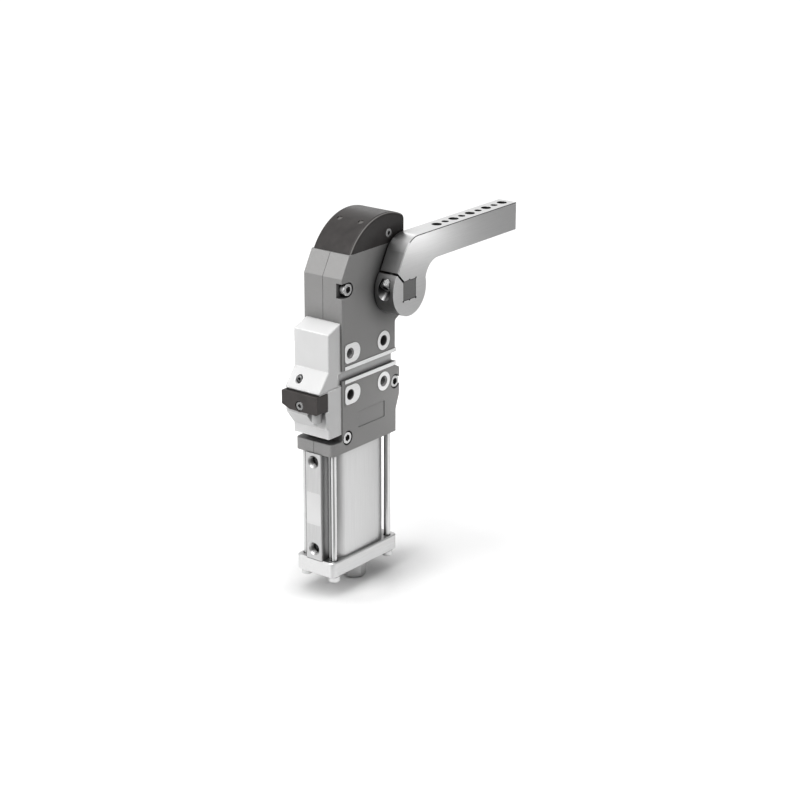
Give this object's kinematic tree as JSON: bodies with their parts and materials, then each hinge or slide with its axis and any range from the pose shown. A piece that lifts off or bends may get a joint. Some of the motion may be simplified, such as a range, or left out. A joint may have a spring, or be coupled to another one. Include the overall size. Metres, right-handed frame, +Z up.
{
  "type": "pneumatic power clamp",
  "caption": "Toggle clamp with an oval air cylinder, cast body, square output shaft, split offset arm and end-position switch housing.",
  "frame": {"origin": "the arm shaft's axis where it crosses the body's parting plane", "axes": "+Z up the cylinder towards the top cover, +X along the clamped arm, -Y out of the side that carries the arm"},
  "size_m": [0.2347, 0.077, 0.3039],
  "materials": {
    "cast_body": "sand-cast and bead-blasted, with machined pads",
    "cover_plastic": "fine satin",
    "housing_plastic": "fine matt",
    "block_plastic": "fine matt",
    "tube_aluminium": "anodised satin",
    "plate_aluminium": "milled",
    "rail_aluminium": "anodised satin",
    "rod_chrome": "ground and plated",
    "tie_rod_steel": "zinc plated",
    "arm_steel": "ground",
    "shaft_steel": "hardened and turned",
    "screw_steel": "zinc plated",
    "plug_steel": "turned",
    "inner_steel": "hardened and ground",
    "bush_bronze": "plain bearing",
    "seal_rubber": "matt",
    "bumper_rubber": "matt",
    "wear_plastic": "smooth",
    "connector_plastic": "translucent grey",
    "pin_brass": "gold plated",
    "board_plastic": "board",
    "switch_plastic": "smooth"
  },
  "bodies": {
    "housing": {"body_half_near": "cast_body", "body_half_far": "cast_body", "body_screws": "screw_steel", "top_cover": "cover_plastic", "cover_screws": "screw_steel", "shaft_bushes": "bush_bronze", "guide_rail_front": "inner_steel", "guide_rail_back": "inner_steel", "rod_cover": "plate_aluminium", "rod_bush": "bush_bronze", "rod_seal": "seal_rubber", "cylinder_tube": "tube_aluminium", "tube_seals": "seal_rubber", "end_bumpers": "bumper_rubber", "end_plate": "plate_aluminium", "tie_rods": "tie_rod_steel", "hex_plug": "plug_steel", "port_rail": "rail_aluminium", "switch_cover": "housing_plastic", "switch_base": "housing_plastic", "connector_block": "block_plastic", "block_screw": "screw_steel", "shoulder_screw": "screw_steel", "connector": "connector_plastic", "connector_pins": "pin_brass", "sensor_carrier": "board_plastic", "proximity_switches": "switch_plastic"},
    "arm": {"output_shaft": "shaft_steel", "crank_pin": "inner_steel", "clamp_arm": "arm_steel", "arm_screw": "screw_steel"},
    "link": {"link_plates": "inner_steel"},
    "rod": {"knuckle": "inner_steel", "knuckle_pin": "inner_steel", "switch_dog": "inner_steel", "dog_pin": "inner_steel", "piston_rod": "rod_chrome", "piston": "plate_aluminium", "piston_seal": "seal_rubber", "wear_rings": "wear_plastic", "piston_nut": "inner_steel"}
  },
  "joints": [
    {"name": "arm_swing", "type": "hinge", "parent": "housing", "child": "arm", "pos_m": [0, 0, 0], "axis": [0, -1, 0], "range_deg": [0, 90]},
    {"name": "rod_slide", "type": "slide", "parent": "housing", "child": "rod", "axis": [0, 0, -1], "range_m": [0, 0.03135]},
    {"name": "link_hinge", "type": "hinge", "parent": "arm", "child": "link", "pos_m": [-0.00313, 0, 0.01773], "axis": [0, -1, 0], "range_deg": [-36.6, 0]}
  ],
  "couplings": [
    {"joint": "rod_slide", "follows": "arm_swing", "m_per_rad": 0.019956},
    {"joint": "link_hinge", "follows": "arm_swing", "ratio": -0.4064}
  ]
}
